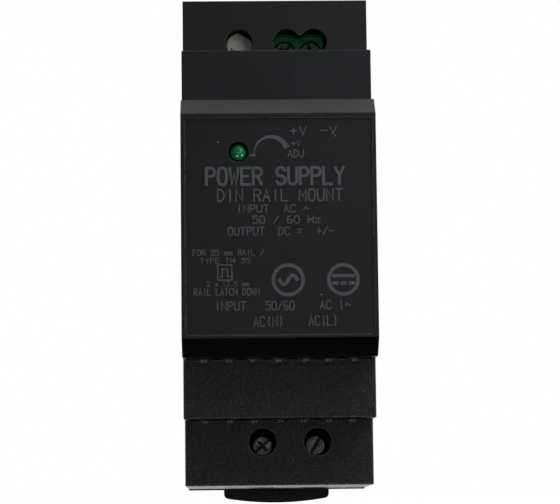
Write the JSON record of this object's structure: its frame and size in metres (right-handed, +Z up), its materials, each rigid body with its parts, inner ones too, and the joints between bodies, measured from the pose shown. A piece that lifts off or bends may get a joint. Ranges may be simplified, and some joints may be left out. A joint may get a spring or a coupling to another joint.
{
  "type": "din rail power supply",
  "caption": "Slim stepped black plastic power supply for a 35 mm top-hat rail, with clamp terminals behind access holes, a voltage trimmer, a status light and a sprung rail latch.",
  "frame": {"origin": "centre of the seat that rests on the front face of the 35 mm rail", "axes": "+X to the right seen from the front, +Y towards the rail, +Z up; the front faces -Y"},
  "size_m": [0.035, 0.0584, 0.0956],
  "materials": {
    "housing": "fine spark-eroded texture, black",
    "base": "fine spark-eroded texture, black",
    "latch": "smooth black",
    "terminal_plastic": "satin, dark green",
    "terminal_black": "satin, black",
    "screw_steel": "zinc plated",
    "tinned_metal": "tin plated",
    "spring_steel": "bright drawn wire",
    "board": "glass-fibre laminate with solder resist",
    "led_lens": "tinted clear green",
    "trimmer_knob": "natural nylon",
    "trimmer_body": "moulded blue",
    "black_epoxy": "moulded black",
    "ferrite": "dull dark grey",
    "copper": "enamelled copper wire",
    "winding_tape": "polyester tape",
    "aluminium": "mill finish",
    "capacitor_sleeve": "shrunk sleeve",
    "film_box": "moulded box",
    "blue_disc": "dipped coating",
    "green_disc": "dipped coating",
    "fuse_case": "moulded case",
    "insulation": "fibre sheet"
  },
  "bodies": {
    "housing": {"bridge_rectifier": "black_epoxy", "bulk_capacitor": "capacitor_sleeve", "choke_base": "black_epoxy", "choke_core": "ferrite", "choke_winding_left": "copper", "choke_winding_right": "copper", "control_board": "board", "controller_chip": "black_epoxy", "diode_heat_sink": "aluminium", "diode_sink_screw": "screw_steel", "front_shell": "housing", "input_fuse": "fuse_case", "input_terminal_body": "terminal_black", "inrush_thermistor": "green_disc", "insulation_sheet": "insulation", "latch_spring": "spring_steel", "led_lead_anode": "tinned_metal", "led_lead_cathode": "tinned_metal", "line_contact": "tinned_metal", "main_board": "board", "negative_contact": "tinned_metal", "neutral_contact": "tinned_metal", "nose_vent_bottom": "housing", "nose_vent_top": "housing", "optocoupler": "black_epoxy", "output_capacitor_left": "capacitor_sleeve", "output_capacitor_right": "capacitor_sleeve", "output_choke": "ferrite", "output_terminal_body": "terminal_plastic", "positive_contact": "tinned_metal", "power_diode": "black_epoxy", "power_switch": "black_epoxy", "rear_base": "base", "status_led": "led_lens", "step_vent_bottom": "housing", "step_vent_top": "housing", "surge_varistor": "blue_disc", "switch_heat_sink": "aluminium", "switch_sink_screw": "screw_steel", "transformer_bobbin": "black_epoxy", "transformer_core": "ferrite", "transformer_winding": "winding_tape", "trimmer_body": "trimmer_body", "x_capacitor": "film_box", "y_capacitor": "blue_disc"},
    "latch": {"rail_latch": "latch"},
    "trimmer": {"trimmer_knob": "trimmer_knob"},
    "positive_screw": {"positive_screw": "screw_steel"},
    "positive_cage": {"positive_cage": "tinned_metal"},
    "negative_screw": {"negative_screw": "screw_steel"},
    "negative_cage": {"negative_cage": "tinned_metal"},
    "neutral_screw": {"neutral_screw": "screw_steel"},
    "neutral_cage": {"neutral_cage": "tinned_metal"},
    "line_screw": {"line_screw": "screw_steel"},
    "line_cage": {"line_cage": "tinned_metal"}
  },
  "joints": [
    {"name": "latch_slide", "type": "slide", "parent": "housing", "child": "latch", "axis": [0, 0, -1], "range_m": [0, 0.0035], "stiffness_N_per_m": 3000, "springref_m": -0.001, "deforming": ["latch_spring"]},
    {"name": "trimmer_turn", "type": "hinge", "parent": "housing", "child": "trimmer", "pos_m": [-0.0068, -0.0299, 0.0377], "axis": [0, 1, 0], "range_deg": [-135, 135]},
    {"name": "positive_screw_turn", "type": "hinge", "parent": "housing", "child": "positive_screw", "pos_m": [0.0021, -0.0198, 0.03845], "axis": [0, 1, 0], "range_deg": [0, 1800]},
    {"name": "positive_cage_rise", "type": "slide", "parent": "housing", "child": "positive_cage", "axis": [0, -1, 0], "range_m": [0, 0.0025]},
    {"name": "negative_screw_turn", "type": "hinge", "parent": "housing", "child": "negative_screw", "pos_m": [0.00718, -0.0198, 0.03845], "axis": [0, 1, 0], "range_deg": [0, 1800]},
    {"name": "negative_cage_rise", "type": "slide", "parent": "housing", "child": "negative_cage", "axis": [0, -1, 0], "range_m": [0, 0.0025]},
    {"name": "neutral_screw_turn", "type": "hinge", "parent": "housing", "child": "neutral_screw", "pos_m": [-0.00298, -0.0198, -0.03845], "axis": [0, 1, 0], "range_deg": [0, 1800]},
    {"name": "neutral_cage_rise", "type": "slide", "parent": "housing", "child": "neutral_cage", "axis": [0, -1, 0], "range_m": [0, 0.0025]},
    {"name": "line_screw_turn", "type": "hinge", "parent": "housing", "child": "line_screw", "pos_m": [0.00718, -0.0198, -0.03845], "axis": [0, 1, 0], "range_deg": [0, 1800]},
    {"name": "line_cage_rise", "type": "slide", "parent": "housing", "child": "line_cage", "axis": [0, -1, 0], "range_m": [0, 0.0025]}
  ],
  "couplings": [
    {"joint": "positive_screw_turn", "follows": "positive_cage_rise", "rad_per_m": 12566},
    {"joint": "negative_screw_turn", "follows": "negative_cage_rise", "rad_per_m": 12566},
    {"joint": "neutral_screw_turn", "follows": "neutral_cage_rise", "rad_per_m": 12566},
    {"joint": "line_screw_turn", "follows": "line_cage_rise", "rad_per_m": 12566}
  ]
}
